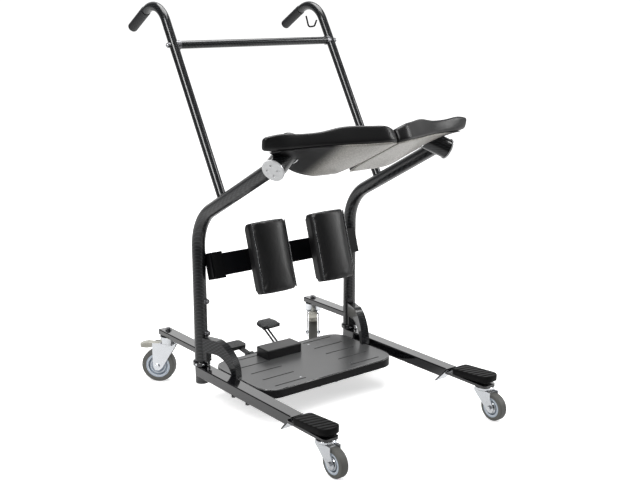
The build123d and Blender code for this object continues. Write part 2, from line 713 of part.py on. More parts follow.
tie_vec = Vector(LINK_PIN[0] - CROSSHEAD[0], LINK_PIN[1] - CROSSHEAD[1], 0)
tie_angle = math.degrees(math.atan2(tie_vec.Y, tie_vec.X))
tie_length = tie_vec.length
with BuildPart() as tie_rod:
    with BuildSketch(Plane.XY.offset(TIE_Z[0])):
        with Locations((tie_length / 2, 0)):
            Rectangle(tie_length, 10)
        with Locations((0, 0), (tie_length, 0)):
            Circle(9)
        Circle(4.0, mode=Mode.SUBTRACT)
        with Locations((tie_length, 0)):
            SlotOverall(12, 10.4, mode=Mode.SUBTRACT)
    extrude(amount=TIE_Z[1] - TIE_Z[0])
save_pair(tie_rod.part.moved(Location((*CROSSHEAD, 0), (0, 0, tie_angle))), "tie_rod")


# ================================================================ casters
def caster(radius, trail, tyre_w, head_z, plate_r, with_brake):
    """Fork, hub and tyre of one caster, trailing towards -Y from the origin."""
    hub_r = radius * 0.72
    half = tyre_w / 2
    cheek = half + 2.0
    back = trail + 14 if with_brake else trail
    with BuildPart() as fork:
        with BuildSketch(Plane.XY.offset(head_z - 4)):
            Circle(plate_r)
            with Locations((0, -plate_r / 2)):
                Rectangle(2 * cheek + 6, plate_r)
        extrude(amount=4)
        for side in (-1, 1):
            with BuildSketch(Plane.YZ.offset(side * (cheek + 1.5))):
                with BuildLine():
                    Polyline(
                        (plate_r * 0.92, head_z), (plate_r * 0.92, head_z - 7),
                        (-trail + 14, radius - 5), (-trail + 5, radius - 13),
                        (-trail - 8, radius - 13), (-trail - 14, radius - 1),
                        (-back, head_z - 16), (-back, head_z), close=True,
                    )
                make_face()
            extrude(amount=1.5, both=True)
        with BuildSketch(Plane.YZ.offset(-cheek - 7)):
            with Locations((-trail, radius)):
                Circle(CASTER_AXLE_R)
        extrude(amount=2 * cheek + 14)
        with BuildSketch(Plane.YZ.offset(-cheek - 8)):
            with Locations((-trail, radius)):
                RegularPolygon(6.5, 6)
        extrude(amount=5)
        with BuildSketch(Plane.YZ.offset(cheek + 3)):
            with Locations((-trail, radius)):
                RegularPolygon(6.5, 6)
        extrude(amount=5)
        with BuildSketch(Plane.XY.offset(head_z - 6)):
            Circle(KINGPIN_BORE)
        extrude(amount=12, mode=Mode.SUBTRACT)
        if with_brake:
            with BuildSketch(Plane.YZ.offset(-cheek - 3)):
                with Locations((-plate_r - 8, head_z - 6)):
                    Circle(2.95)
            extrude(amount=2 * cheek + 6)
    with BuildPart() as hub:
        with BuildSketch(Plane.YZ.offset(-half)):
            with Locations((-trail, radius)):
                Circle(hub_r)
                Circle(CASTER_BORE_R, mode=Mode.SUBTRACT)
        extrude(amount=tyre_w)
        with BuildSketch(Plane.YZ.offset(-half)):
            with Locations((-trail, radius)):
                Circle(hub_r - 5)
                Circle(10, mode=Mode.SUBTRACT)
        extrude(amount=half - 3, mode=Mode.SUBTRACT)
        with BuildSketch(Plane.YZ.offset(half)):
            with Locations((-trail, radius)):
                Circle(hub_r - 5)
                Circle(10, mode=Mode.SUBTRACT)
        extrude(amount=-(half - 3), mode=Mode.SUBTRACT)
    with BuildPart() as tyre:
        with BuildSketch(Plane.YZ.offset(-half)):
            with Locations((-trail, radius)):
                Circle(radius)
                Circle(hub_r, mode=Mode.SUBTRACT)
        extrude(amount=tyre_w)
        fillet(tyre.edges().filter_by(GeomType.CIRCLE).group_by(Edge.length)[-1], radius=5)
    return fork.part, hub.part, tyre.part


FRONT_HEAD = 79.4
REAR_HEAD = 120.0
front_fork, front_hub, front_tyre = caster(
    FRONT_R, FRONT_TRAIL, FRONT_TYRE_W, FRONT_HEAD, 24, False)
rear_fork, rear_hub, rear_tyre = caster(
    REAR_R, REAR_TRAIL, REAR_TYRE_W, REAR_HEAD, 25, True)

with BuildPart() as brake:
    with BuildSketch(Plane.YZ.offset(-13)):
        with BuildLine():
            Polyline(
                (-27, 118.5), (-27, 109), (-40, 109), (-62, 104), (-86, 104), (-86, 115),
                (-66, 120), (-46, 118.5), close=True,
            )
        make_face()
    extrude(amount=26)
    chamfer(brake.edges().filter_by(Axis.Z).group_by(Axis.Y)[0], length=6)
    with BuildSketch(Plane.YZ.offset(-14)):
        with Locations((-33, 114)):
            Circle(3.0)
    extrude(amount=28, mode=Mode.SUBTRACT)

front_place = Location((*FRONT_SWIVEL, 0))
save_pair(front_fork.moved(front_place), "front_fork")
save_pair(front_hub.moved(front_place), "front_hub")
save_pair(front_tyre.moved(front_place), "front_tyre")

for side, turn in (("left", REAR_TURN_LEFT), ("right", REAR_TURN_RIGHT)):
    sign = -1 if side == "left" else 1
    place = Location((sign * REAR_SWIVEL[0], REAR_SWIVEL[1], 0), (0, 0, turn))
    save(rear_fork.moved(place), f"rear_fork_{side}")
    save(rear_hub.moved(place), f"rear_hub_{side}")
    save(rear_tyre.moved(place), f"rear_tyre_{side}")
    save(brake.part.moved(place), f"brake_pedal_{side}")

with BuildPart() as rear_raceway:
    with BuildSketch(Plane.XY.offset(REAR_HEAD + 0.6)):
        with Locations(REAR_SWIVEL):
            Circle(25)
    extrude(amount=REAR_LEG_Z[0] - REAR_HEAD - 0.6)
    with BuildSketch(Plane.XY.offset(REAR_HEAD - 10)):
        with Locations(REAR_SWIVEL):
            Circle(KINGPIN_R)
    extrude(amount=REAR_LEG_Z[0] - REAR_HEAD + 10)
save_group(rear_raceway.part, "rear_raceways")
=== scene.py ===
"""Looks of the stand-assist patient lift: materials, upholstery, small trim,
a plain white studio and the camera.  Metres, +Z up, the patient enters from -Y."""
import math

import bmesh
import bpy
import numpy as np
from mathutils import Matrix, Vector


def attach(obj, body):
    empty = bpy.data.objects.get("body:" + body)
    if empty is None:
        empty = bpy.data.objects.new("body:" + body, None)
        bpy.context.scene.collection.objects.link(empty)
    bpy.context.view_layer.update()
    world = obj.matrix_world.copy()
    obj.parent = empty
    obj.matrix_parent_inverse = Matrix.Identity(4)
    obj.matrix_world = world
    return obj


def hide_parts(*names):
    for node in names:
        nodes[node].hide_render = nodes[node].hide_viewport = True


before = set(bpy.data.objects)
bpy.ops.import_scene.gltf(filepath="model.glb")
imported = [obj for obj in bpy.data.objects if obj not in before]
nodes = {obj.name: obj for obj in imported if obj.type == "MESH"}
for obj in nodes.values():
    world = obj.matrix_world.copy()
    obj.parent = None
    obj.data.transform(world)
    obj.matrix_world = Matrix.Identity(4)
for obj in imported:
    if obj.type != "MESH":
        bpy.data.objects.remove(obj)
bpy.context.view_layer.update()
scene = bpy.context.scene

MM = 0.001
MAST_Y = 155.0            # the masts stand this far behind the middle, in mm
SIDES = (("left", -1), ("right", 1))
ENDS = (("a", -1), ("b", 1))
VIEW = (0.616, 0.788, 0.0)    # the way the camera looks, on the level


def at(x, y, z):
    """A point given in mm about the line of the masts, in metres in the frame."""
    return Vector((x, y + MAST_Y, z)) * MM


# ------------------------------------------------------------------ shader tools
MIX_SOCKETS = {"RGBA": (6, 7, 2), "FLOAT": (2, 3, 0)}    # A, B and the result
WAVE_SPAN = 0.31416       # a wave texture of scale 1 repeats after this many metres


def material(name, colour, rough, metallic=0.0, coat=0.0, specular=0.5, coat_rough=0.06):
    """A Principled material with plain values."""
    made = bpy.data.materials.new(name)
    made.use_nodes = True
    shader = shader_of(made)
    shader.inputs["Base Color"].default_value = (*colour, 1.0)
    shader.inputs["Roughness"].default_value = rough
    shader.inputs["Metallic"].default_value = metallic
    shader.inputs["Coat Weight"].default_value = coat
    shader.inputs["Coat Roughness"].default_value = coat_rough
    shader.inputs["Specular IOR Level"].default_value = specular
    return made


def shader_of(made):
    return made.node_tree.nodes["Principled BSDF"]


def feed(made, value, socket):
    """Links an output to a socket, or gives the socket a plain value."""
    if isinstance(value, bpy.types.NodeSocket):
        made.node_tree.links.new(value, socket)
    elif socket.type == "RGBA":
        socket.default_value = (*value, 1.0)
    else:
        socket.default_value = value


def node(made, kind, **values):
    """Adds a shader node and fills in its attributes and inputs by name."""
    new = made.node_tree.nodes.new(kind)
    for key, value in values.items():
        if hasattr(new, key):
            setattr(new, key, value)
        else:
            feed(made, value, new.inputs[key.replace("_", " ")])
    return new


def place(made):
    """Object coordinates, which for frame pieces are metres in the frame."""
    return node(made, "ShaderNodeTexCoord").outputs["Object"]


def calculate(made, operation, first, second):
    """The result of a math operation on two values."""
    new = node(made, "ShaderNodeMath", operation=operation)
    feed(made, first, new.inputs[0])
    feed(made, second, new.inputs[1])
    return new.outputs[0]


def span(made, value, start, end, low=0.0, high=1.0, kind="LINEAR"):
    """Maps a value that runs from start to end onto low to high."""
    new = node(made, "ShaderNodeMapRange", interpolation_type=kind, Value=value,
               From_Min=start, From_Max=end, To_Min=low, To_Max=high)
    return new.outputs["Result"]


def blend(made, factor, low, high, kind="RGBA"):
    """Mixes two colours or values by a factor."""
    first, second, result = MIX_SOCKETS[kind]
    mix = node(made, "ShaderNodeMix", data_type=kind, Factor=factor)
    feed(made, low, mix.inputs[first])
    feed(made, high, mix.inputs[second])
    return mix.outputs[result]


def noise(made, scale, detail):
    new = node(made, "ShaderNodeTexNoise", Vector=place(made), Scale=scale, Detail=detail)
    return new.outputs[0]


def wave(made, vector, direction, period):
    """Bands across a direction that repeat after a period in metres."""
    new = node(made, "ShaderNodeTexWave", bands_direction=direction,
               Vector=vector, Scale=WAVE_SPAN / period)
    return new.outputs[1]


def depth_in_view(made, vector):
    """How far a point or a direction reaches along the camera's view."""
    new = node(made, "ShaderNodeVectorMath", operation="DOT_PRODUCT")
    new.inputs[1].default_value = VIEW
    feed(made, vector, new.inputs[0])
    return new.outputs["Value"]


def grain(made, scale, strength, distance, detail=4.0):
    """A fine noise bump, with the same noise moving the roughness a little."""
    shader = shader_of(made)
    grains = noise(made, scale, detail)
    bump = node(made, "ShaderNodeBump", Height=grains, Strength=strength, Distance=distance)
    feed(made, bump.outputs["Normal"], shader.inputs["Normal"])
    base = shader.inputs["Roughness"].default_value
    rough = span(made, grains, 0.0, 1.0, max(base - 0.06, 0.02), base + 0.08)
    feed(made, rough, shader.inputs["Roughness"])
    return grains


def smudge(made, low, high, scale=9.0):
    """The roughness wanders between two values."""
    rough = span(made, noise(made, scale, 5.0), 0.3, 0.7, low, high)
    feed(made, rough, shader_of(made).inputs["Roughness"])


# ------------------------------------------------------------------ materials
# Tube: black, with a printed twill weave under a clear coat.
TUBE_DARK = (0.003, 0.003, 0.0035)
TUBE_LIGHT = (0.034, 0.038, 0.042)
TUBE_WEAVE = 0.0050
TUBE = material("tube_weave", TUBE_DARK, 0.3, coat=0.7, specular=0.3, coat_rough=0.05)
threads = [wave(TUBE, place(TUBE), direction, TUBE_WEAVE) for direction in ("Z", "DIAGONAL")]
weave = calculate(TUBE, "MULTIPLY", *threads)
feed(TUBE, blend(TUBE, weave, TUBE_DARK, TUBE_LIGHT), shader_of(TUBE).inputs["Base Color"])

GLOSS = material("gloss_black", (0.003, 0.003, 0.004), 0.10, coat=1.0)
smudge(GLOSS, 0.05, 0.16)

SATIN = material("satin_black", (0.004, 0.004, 0.005), 0.3, specular=0.25)
smudge(SATIN, 0.24, 0.38)

MOULDED = material("moulded_black", (0.0035, 0.0035, 0.004), 0.42, specular=0.18)
grain(MOULDED, 900, 0.12, 0.0004)

ZINC = material("zinc", (0.82, 0.84, 0.87), 0.24, metallic=1.0)
grain(ZINC, 160, 0.10, 0.0005)

CHROME = material("chrome", (0.86, 0.87, 0.88), 0.06, metallic=1.0)
smudge(CHROME, 0.04, 0.12, 30)

DARK_STEEL = material("dark_steel", (0.20, 0.20, 0.21), 0.35, metallic=1.0)
grain(DARK_STEEL, 200, 0.1, 0.0004)

WHITE = material("white_cap", (0.92, 0.93, 0.94), 0.16, coat=0.5)
feed(WHITE, 0.15, shader_of(WHITE).inputs["Transmission Weight"])
smudge(WHITE, 0.10, 0.22, 40)

SLEEVE = material("grey_sleeve", (0.30, 0.31, 0.33), 0.12, coat=0.6)
smudge(SLEEVE, 0.08, 0.2, 30)

TYRE = material("grey_tyre", (0.12, 0.12, 0.112), 0.5, specular=0.35)
grain(TYRE, 500, 0.15, 0.0005)

WHEEL = material("wheel_centre", (0.46, 0.52, 0.60), 0.32, coat=0.2)
grain(WHEEL, 300, 0.08, 0.0004)

WHEEL_RING = material("wheel_rings", (0.72, 0.77, 0.82), 0.3, coat=0.2)
grain(WHEEL_RING, 300, 0.06, 0.0004)

# Brake pedals: mottled ivory plastic.
IVORY = material("ivory_pedal", (0.5, 0.5, 0.5), 0.36, coat=0.2)
mottle = grain(IVORY, 160, 0.3, 0.0008)
ivory = blend(IVORY, mottle, (0.22, 0.22, 0.20), (0.58, 0.56, 0.48))
feed(IVORY, ivory, shader_of(IVORY).inputs["Base Color"])

GRIP = material("grip_rubber", (0.010, 0.010, 0.012), 0.45, specular=0.45)
grain(GRIP, 900, 0.25, 0.0005)

VINYL = material("black_vinyl", (0.0055, 0.0055, 0.006), 0.40, specular=0.45, coat=0.12,
                 coat_rough=0.25)
grain(VINYL, 700, 0.10, 0.0006, 6.0)

# Piping on the knee pads: real glossy beads, given a greyer colour than the vinyl as a painted
# highlight along the pads' edges.
PIPING_PAINTED_SHEEN = material("pad_piping_painted_sheen", (0.035, 0.037, 0.040), 0.22, coat=0.8, specular=0.8)
smudge(PIPING_PAINTED_SHEEN, 0.16, 0.3, 60)

DECK = material("deck_paint", (0.065, 0.066, 0.067), 0.30, specular=1.0)
grain(DECK, 1200, 0.10, 0.0003)

DECK_EDGE = material("deck_edge", (0.03, 0.03, 0.032), 0.16, coat=1.0, specular=0.9)
smudge(DECK_EDGE, 0.12, 0.24)

HOUSING = material("housing_top", (0.008, 0.008, 0.009), 0.30)
grain(HOUSING, 1000, 0.10, 0.0003)

PEDAL = material("pedal_pad", (0.014, 0.015, 0.016), 0.42)
grain(PEDAL, 420, 0.8, 0.0016, 2.0)

# Toe pads: straight ribs cut at a slant, on the top face only.
RIB_SLANT = math.radians(14)
RIB_PERIOD = 0.017
RIB_DEPTH = 0.004
TOE = material("toe_rubber", (0.003, 0.003, 0.0032), 0.55, specular=0.14)
slanted = node(TOE, "ShaderNodeMapping", Vector=place(TOE), Rotation=(0, 0, RIB_SLANT))
ribs = wave(TOE, slanted.outputs["Vector"], "Y", RIB_PERIOD)
surface = node(TOE, "ShaderNodeNewGeometry").outputs["Normal"]
upward = node(TOE, "ShaderNodeSeparateXYZ", Vector=surface).outputs[2]
on_top = span(TOE, upward, 0.7, 0.9, high=0.9)
rib_bump = node(TOE, "ShaderNodeBump", Distance=RIB_DEPTH, Strength=on_top, Height=ribs)
feed(TOE, rib_bump.outputs["Normal"], shader_of(TOE).inputs["Normal"])

# Paddle undersides: pale speckled board that turns black where it curves up to the hub, nearer
# the middle on the left paddle than on the right one. The black next to the hub is the moulded
# shell; the wider black on the left paddle is painted shade.
BOARD_BLACK_AND_SHADE = (0.006, 0.006, 0.007)
BOARD = material("paddle_board", (0.5, 0.5, 0.5), 0.42, specular=0.4, coat=0.15)
board_x = node(BOARD, "ShaderNodeSeparateXYZ", Vector=place(BOARD)).outputs[0]
# Painted shade: the left paddle is painted black much further in than the right one.
left_painted_shade_fade = span(BOARD, board_x, -0.170, -0.118, kind="SMOOTHSTEP")
right_fade = span(BOARD, board_x, 0.265, 0.215, kind="SMOOTHSTEP")
pale = calculate(BOARD, "MINIMUM", left_painted_shade_fade, right_fade)
specks = span(BOARD, noise(BOARD, 260, 5.0), 0.35, 0.65)
speckled = blend(BOARD, specks, (0.36, 0.345, 0.315), (0.60, 0.58, 0.54))
board_colour_and_shade = blend(BOARD, pale, BOARD_BLACK_AND_SHADE, speckled)
feed(BOARD, board_colour_and_shade, shader_of(BOARD).inputs["Base Color"])

LOOKS = {
    "mast_lower": TUBE, "mast_upper": TUBE, "handle": TUBE, "brace": TUBE,
    "handle_crossbar": TUBE, "front_leg": GLOSS, "rear_leg": GLOSS, "mast_rings": GLOSS,
    "foot_strap": SATIN, "knee_bar": SATIN, "strap_hooks": SATIN,
    "knee_brackets": MOULDED, "platform_frame": MOULDED, "platform_deck": DECK,
    "grips": GRIP, "hub_caps": WHITE, "seat_spindle": SLEEVE,
    "crossbar_fittings": DARK_STEEL, "frame_bolts": DARK_STEEL, "drive_bar": DARK_STEEL,
    "tie_rod": DARK_STEEL, "deck_screws": ZINC, "rear_raceways": ZINC, "front_fork": ZINC,
    "rear_fork": ZINC, "front_hub": WHEEL, "rear_hub": WHEEL, "front_tyre": TYRE,
    "rear_tyre": TYRE, "brake_pedal": IVORY, "pedal_housing": HOUSING,
    "pedal_high": PEDAL, "pedal_low": PEDAL, "toe_pad": TOE,
    "seat_pad": VINYL, "knee_pad": VINYL, "seat_shell": BOARD,
}


def dress(obj, made):
    obj.data.materials.clear()
    obj.data.materials.append(made)


for name, obj in nodes.items():
    stem = name.removesuffix("_left").removesuffix("_right")
    dress(obj, LOOKS[stem])


# ------------------------------------------------------------------ mesh tools
def solid(name, verts, faces, made, body, smooth=True):
    """A new mesh object with one material that rides on a body."""
    mesh = bpy.data.meshes.new(name)
    mesh.from_pydata([tuple(v) for v in verts], [], faces)
    bm = bmesh.new()
    bm.from_mesh(mesh)
    bmesh.ops.recalc_face_normals(bm, faces=bm.faces)
    bm.to_mesh(mesh)
    bm.free()
    obj = bpy.data.objects.new(name, mesh)
    scene.collection.objects.link(obj)
    dress(obj, made)
    for face in mesh.polygons:
        face.use_smooth = smooth
    if body:
        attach(obj, body)
    return obj


def middle_of(points):
    return sum(points, Vector()) / len(points)


def loft(rings):
    """Vertices and faces of a closed skin through rings of equal length."""
    count = len(rings[0])
    verts = [p for ring in rings for p in ring]
    faces = []
    for i in range(len(rings) - 1):
        for j in range(count):
            k = (j + 1) % count
            faces.append((i * count + j, i * count + k, (i + 1) * count + k, (i + 1) * count + j))
    for start, ring in ((0, rings[0]), ((len(rings) - 1) * count, rings[-1])):
        verts.append(middle_of(ring))
        centre = len(verts) - 1
        faces += [(start + j, start + (j + 1) % count, centre) for j in range(count)]
    return verts, faces


def rounded(corners, radius, steps=4):
    """A closed outline through the corners, each rounded by a quadratic curve."""
    out = []
    count = len(corners)
    for i, corner in enumerate(corners):
        to_last = corners[i - 1] - corner
        to_next = corners[(i + 1) % count] - corner
        start = corner + to_last.normalized() * min(radius, to_last.length * 0.48)
        end = corner + to_next.normalized() * min(radius, to_next.length * 0.48)
        for s in range(steps + 1):
            t = s / steps
            out.append(start * (1 - t) ** 2 + corner * 2 * t * (1 - t) + end * t * t)
    return out


def smooth_rows(rows, count):
    """Smooth curve through rows of numbers, spread evenly on the first one."""
    rows = np.array(rows, float)
    keys = rows[:, 0]
    slopes = np.gradient(rows, keys, axis=0)
    out = []
    for x in np.linspace(keys[0], keys[-1], count):
        i = min(int(np.searchsorted(keys, x, side="right")) - 1, len(keys) - 2)
        width = keys[i + 1] - keys[i]
        t = (x - keys[i]) / width
        out.append(
            (2 * t**3 - 3 * t**2 + 1) * rows[i] + (t**3 - 2 * t**2 + t) * width * slopes[i]
            + (3 * t**2 - 2 * t**3) * rows[i + 1] + (t**3 - t**2) * width * slopes[i + 1]
        )
    return out


def evaluated(obj):
    """Replaces an object's mesh by what its modifiers make of it."""
    graph = bpy.context.evaluated_depsgraph_get()
    mesh = bpy.data.meshes.new_from_object(obj.evaluated_get(graph))
    obj.modifiers.clear()
    obj.data = mesh
    return obj


def smooth_faces(obj):
    for face in obj.data.polygons:
        face.use_smooth = True


def subdivide(obj, levels):
    modifier = obj.modifiers.new("smooth", "SUBSURF")
    modifier.levels = levels
    modifier.render_levels = levels
    return obj


def facing(direction):
    """The rotation that turns +Z to a direction."""
    return direction.normalized().to_track_quat("Z", "Y").to_matrix()


def circle(centre, turn, radius, count):
    """Points round a centre, across the Z axis of a rotation."""
    angles = [2 * math.pi * i / count for i in range(count)]
    return [centre + turn @ Vector((math.cos(a) * radius, math.sin(a) * radius, 0))
            for a in angles]


def cylinder(name, start, end, radius, made, body, count=48, edge=0.0):
    """A capped round bar between two points, its ends eased by edge."""
    length = (end - start).length
    along = (end - start).normalized()
    turn = facing(along)
    sections = ((0, radius - edge), (edge, radius), (length - edge, radius),
                (length, radius - edge))
    rings = [circle(start + along * distance, turn, r, count) for distance, r in sections]
    obj = solid(name, *loft(rings), made, body)
    obj.data.set_sharp_from_angle(angle=math.radians(40))
    return obj


def ring_of(name, centre, axis, radius, tube, made, body):
    """A torus."""
    turn = facing(axis)
    verts = []
    faces = []
    around, section = 64, 12
    for i in range(around):
        a = 2 * math.pi * i / around
        out = Vector((math.cos(a), math.sin(a), 0))
        following = (i + 1) % around
        for j in range(section):
            b = 2 * math.pi * j / section
            k = (j + 1) % section
            local = out * (radius + tube * math.cos(b)) + Vector((0, 0, tube * math.sin(b)))
            verts.append(centre + turn @ local)
            faces.append((i * section + j, i * section + k,
                          following * section + k, following * section + j))
    return solid(name, verts, faces, made, body)


def tube_along(name, points, radius, made, body, section=10):
    """A thin round bead through points, such as piping."""
    rings = []
    for i, point in enumerate(points):
        ahead = points[min(i + 1, len(points) - 1)] - points[max(i - 1, 0)]
        rings.append(circle(point, facing(ahead), radius, section))
    return solid(name, *loft(rings), made, body)


# ------------------------------------------------------------------ paddles
ARM_END = (270.0, -378.0, 724.0)
AXIS_IN = (-0.81, 0.39, 0.435)
# Across the paddle: x, then y and z of the low back, high back, high front and
# low front edges, in mm about the masts.
STATIONS = (
    (1.5, -513, 771, -494, 801, -298, 700, -290, 664),
    (26, -520, 775, -500, 813, -301, 702, -294, 665),
    (66, -506, 774, -486, 816, -307, 706, -303, 667),
    (130, -478, 773, -455, 816, -321, 714, -320, 674),
    (186, -454, 771, -440, 806, -325, 734, -321, 692),
    (236, -440, 768, -432, 804, -352, 764, -345, 721),
    (300, -427, 765, -427, 806, -390, 796, -386, 757),
    (334, -412, 766, -420, 799, -402, 796, -399, 765),
)
PADDLE_ROWS = smooth_rows(STATIONS, 30)
INNER_X = 1.5             # where the paddle starts, beside the other paddle
CORNER_BACK = 26.6        # how far the corner beside the other paddle is cut back
CORNER_SPAN = 60.0        # the cut fades out over this distance in x
CORNER_FROM_Y = -384.0    # the cut grows from here to the front
CORNER_DEPTH = 104.0
PAD_EDGE_ROUND = 11.0
BARREL_R = 32.8
BOARD_ENDS_X = 302.0
BOARD_PROUD = 0.9
BOARD_THICK = 2.0
BOARD_ACROSS = 14
BOARD_GAP = 1.5           # the board starts this much further out than the skin
BOARD_START = 0.03        # where the board begins, and its width, as shares of the
BOARD_WIDTH = 0.95        # way from the low back edge to the low front one
COLLAR_RINGS = (51.5, 60.0)
COLLAR_RING_R = 31.2
COLLAR_TUBE = 1.8


def hub_axis(sign):
    axis = Vector(AXIS_IN).normalized()
    return Vector((sign * axis.x, axis.y, axis.z))


def hub_point(sign, along):
    """A point on the hub axis of one side, this many mm in from the arm's end."""
    point = Vector(ARM_END) + Vector(AXIS_IN).normalized() * along
    return at(sign * point.x, point.y, point.z)


def paddle_x(x, y):
    """Where x goes to when the corner beside the other paddle is rounded back."""
    reach = max(0.0, min(1.0, (y - CORNER_FROM_Y) / CORNER_DEPTH))
    return x + CORNER_BACK * reach ** 2 * max(0.0, 1 - (x - INNER_X) / CORNER_SPAN)


def long_edges(row):
    """Low back, high back, high front and low front at one station."""
    return [Vector((0, row[i], row[i + 1])) for i in (1, 3, 5, 7)]


def paddle_ring(row, sign):
    """Rounded section of the paddle at one station."""
    outline = rounded(long_edges(row), PAD_EDGE_ROUND)
    return [at(sign * paddle_x(row[0], p.y), p.y, p.z) for p in outline]


def board_sheet(rows, sign):
    """Vertices and faces of the sheet that lies just under the paddle."""
    verts = []
    for row in rows:
        low_back, _, _, low_front = long_edges(row)
        run = (low_front - low_back).normalized()
        outward = Vector((0, run.z, -run.y))
        if outward.z > 0:
            outward = -outward
        for k in range(BOARD_ACROSS + 1):
            share = BOARD_START + BOARD_WIDTH * k / BOARD_ACROSS
            p = low_back.lerp(low_front, share) + outward * BOARD_PROUD
            verts.append(at(sign * (paddle_x(row[0], p.y) + BOARD_GAP), p.y, p.z))
    faces = []
    for i in range(len(rows) - 1):
        for k in range(BOARD_ACROSS):
            a = i * (BOARD_ACROSS + 1) + k
            faces.append((a, a + 1, a + BOARD_ACROSS + 2, a + BOARD_ACROSS + 1))
    return verts, faces


for side, sign in SIDES:
    rings = [paddle_ring(row, sign) for row in PADDLE_ROWS]
    middle = middle_of(rings[0])
    eased = [p.lerp(middle, 0.06) for p in rings[0]]
    pad = solid(f"paddle_skin_{side}", *loft([eased] + rings), VINYL, f"paddle_{side}")
    subdivide(pad, 1)
    # Room for the hub barrel, which the end of the paddle wraps.
    cutter = cylinder("hub_cutter", hub_point(sign, -44), hub_point(sign, 85), BARREL_R * MM,
                      VINYL, None)
    cut = pad.modifiers.new("hub", "BOOLEAN")
    cut.operation = "DIFFERENCE"
    cut.solver = "EXACT"
    cut.object = cutter
    evaluated(pad)
    bpy.data.objects.remove(cutter)
    smooth_faces(pad)
    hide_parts(f"seat_pad_{side}")

    # The board under the paddle stands a little proud of the skin.
    board_rows = [row for row in PADDLE_ROWS if row[0] <= BOARD_ENDS_X]
    board = solid(f"paddle_board_{side}", *board_sheet(board_rows, sign), BOARD,
                  f"paddle_{side}")
    thick = board.modifiers.new("thick", "SOLIDIFY")
    thick.thickness = BOARD_THICK * MM
    thick.offset = 0.0
    evaluated(board)
    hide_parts(f"seat_shell_{side}")

    # Moulded boss that the collar turns against, and two rings on the collar.
    cylinder(f"paddle_boss_{side}", hub_point(sign, 62), hub_point(sign, 92), 37 * MM, VINYL,
             f"paddle_{side}", 56, 7 * MM)
    for along in COLLAR_RINGS:
        ring_of(f"collar_ring_{side}_{int(along)}", hub_point(sign, along), hub_axis(sign),
                COLLAR_RING_R * MM, COLLAR_TUBE * MM, CHROME, f"paddle_{side}")


# ------------------------------------------------------------------ knee pads
KNEE_TILT = math.radians(17.0)
KNEE_OUT = Vector((0, -math.cos(KNEE_TILT), math.sin(KNEE_TILT)))
KNEE_UP = Vector((0, math.sin(KNEE_TILT), math.cos(KNEE_TILT)))
KNEE_X = 105.0
PAD_HALF = 60.0           # half the width
PAD_BACK = 51.5           # from the bar's axis to the back of the pad
PAD_SIDE = 38.0           # depth without the crown
PAD_ROUND = 13.0
PAD_CROWN = 9.0
PAD_MIDDLE = -2.5
PAD_LOW = PAD_MIDDLE - 99.0
PAD_HIGH = PAD_MIDDLE + 99.0
PAD_ENDS = ((0, 7), (1.5, 3.5), (5, 1), (12, 0), (60, 0))    # in from the end, shrunk by
CLOTH_FRAMES = 20
PUFF_LIMIT = 0.0022
HELD_DEPTH = 0.022        # the back of the pad, up to here, stays put
PIPING_R = 1.9
PIPING_IN = 5.0           # from the pad's side, and from its full depth
PIPING_BACK = 3.6


def knee_point(x, up, out):
    """A point in mm on the knee bar: across, up its tilted face, and out from it."""
    p = Vector((x, -44.0, 399.0)) + KNEE_UP * up + KNEE_OUT * out
    return at(p.x, p.y, p.z)


def pad_section(centre, up, shrink):
    """Section of a knee pad: flat back, upright edges and a crowned front."""
    half = PAD_HALF - shrink
    shoulder = PAD_SIDE - PAD_ROUND
    crown = PAD_CROWN - shrink * 0.6
    corners = [(-half, 0), (-half, shoulder)]
    for k in range(1, 12):
        t = -1 + k / 6
        ease = (1 - abs(t) ** 6) ** 0.5
        corners.append((half * t, shoulder + PAD_ROUND * ease + crown * (1 - t * t)))
    corners += [(half, shoulder), (half, 0)]
    return [knee_point(centre + x, up, PAD_BACK + y + shrink * 0.3) for x, y in corners]


def stuffed(obj, cap, hold):
    """Puffs a closed mesh with a short cloth run; points that hold() stay put."""
    remesh = obj.modifiers.new("even", "REMESH")
    remesh.mode = "VOXEL"
    remesh.voxel_size = 0.005
    evaluated(obj)
    start = np.array([v.co[:] for v in obj.data.vertices])
    pinned = obj.vertex_groups.new(name="held")
    pinned.add([i for i, p in enumerate(start) if hold(p)], 1.0, "ADD")
    cloth = obj.modifiers.new("cloth", "CLOTH")
    cloth.settings.use_pressure = True
    cloth.settings.uniform_pressure_force = 4.0
    cloth.settings.tension_stiffness = 40
    cloth.settings.bending_stiffness = 2.0
    cloth.settings.vertex_group_mass = "held"
    cloth.settings.effector_weights.gravity = 0.0
    cloth.point_cache.frame_start = 1
    cloth.point_cache.frame_end = CLOTH_FRAMES
    for number in range(1, CLOTH_FRAMES + 1):
        scene.frame_set(number)
    evaluated(obj)
    scene.frame_set(1)
    for vertex, origin in zip(obj.data.vertices, start):
        moved = vertex.co - Vector(origin)
        if moved.length > cap:
            vertex.co = Vector(origin) + moved.normalized() * cap
    smooth_faces(obj)
    subdivide(obj, 1)
    return obj


def near_back(p):
    return (Vector(p) - knee_point(0, 0, PAD_BACK)).dot(KNEE_OUT) < HELD_DEPTH


